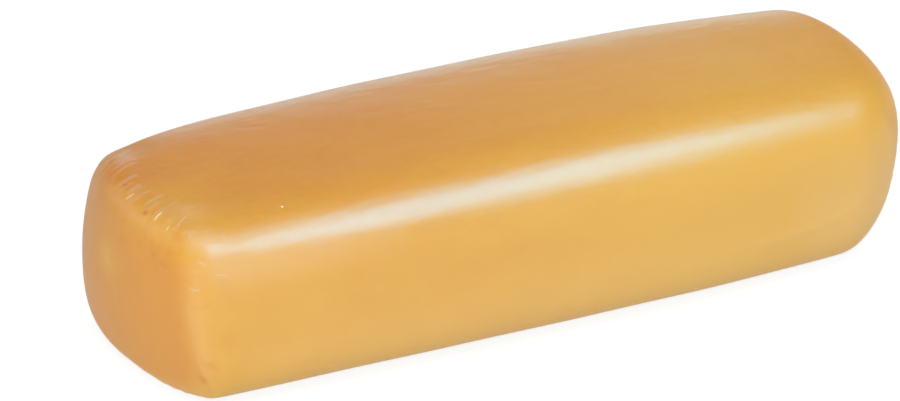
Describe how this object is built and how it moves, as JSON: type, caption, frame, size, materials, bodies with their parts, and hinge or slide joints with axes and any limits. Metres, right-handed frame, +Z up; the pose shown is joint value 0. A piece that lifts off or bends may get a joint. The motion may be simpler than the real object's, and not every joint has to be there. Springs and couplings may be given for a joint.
{
  "type": "smoked scamorza loaf",
  "caption": "Long loaf of smoked scamorza cheese with rounded edges and bulging ends, sealed in tight clear film, lying on its flat base.",
  "frame": {"origin": "on the flat base, under the middle of the loaf's bounding box", "axes": "+X along the loaf's length, -Y towards its front side, +Z up"},
  "size_m": [0.3318, 0.11, 0.0814],
  "materials": {
    "cheese": "smooth smoked cheese, amber, faintly mottled and slightly translucent",
    "film": "clear shrink film, glossy, with small pleats at the ends"
  },
  "bodies": {
    "root": {"scamorza_loaf": "cheese"}
  },
  "joints": []
}
